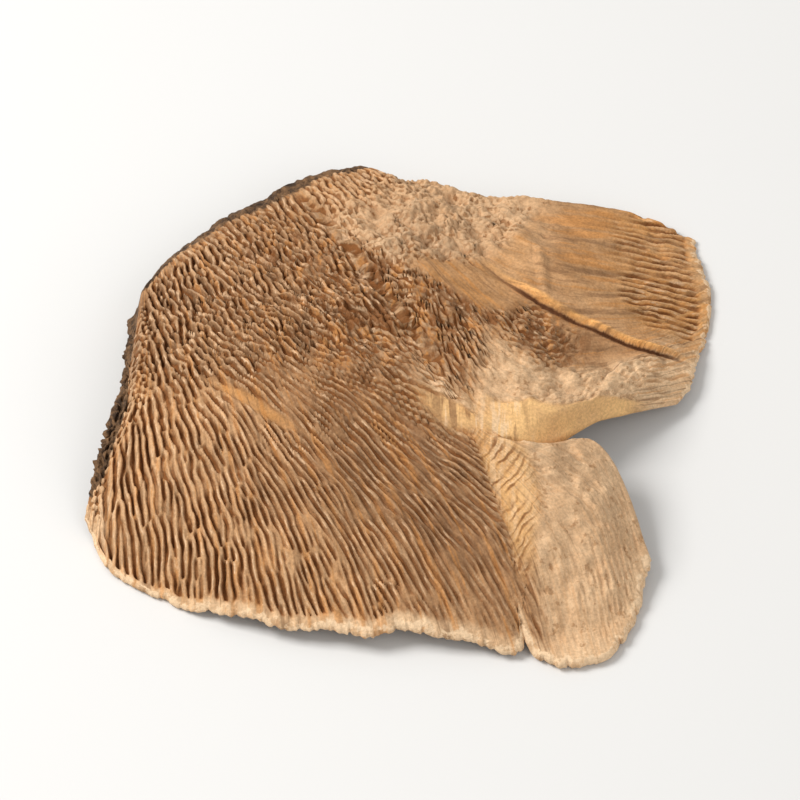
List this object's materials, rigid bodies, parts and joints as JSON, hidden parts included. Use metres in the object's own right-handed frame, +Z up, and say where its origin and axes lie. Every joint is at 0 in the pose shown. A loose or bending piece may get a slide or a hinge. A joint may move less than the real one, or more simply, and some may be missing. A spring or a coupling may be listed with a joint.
{
  "type": "dried sponge mushroom",
  "caption": "Dried bracket mushroom lying on its cap, gilled underside up, with a thick foot where it grew on wood, a broad lobe and a side lobe.",
  "frame": {"origin": "on the surface that the mushroom lies on, under the middle of its outline", "axes": "+X along its longest reach, from the torn left edge to the side lobe; +Y from the gilled margin towards the foot; +Z up, the gilled side facing up"},
  "size_m": [0.1238, 0.1158, 0.026],
  "materials": {
    "dried_flesh": "matte, dry and fibrous"
  },
  "bodies": {
    "root": {"mushroom": "dried_flesh"}
  },
  "joints": []
}
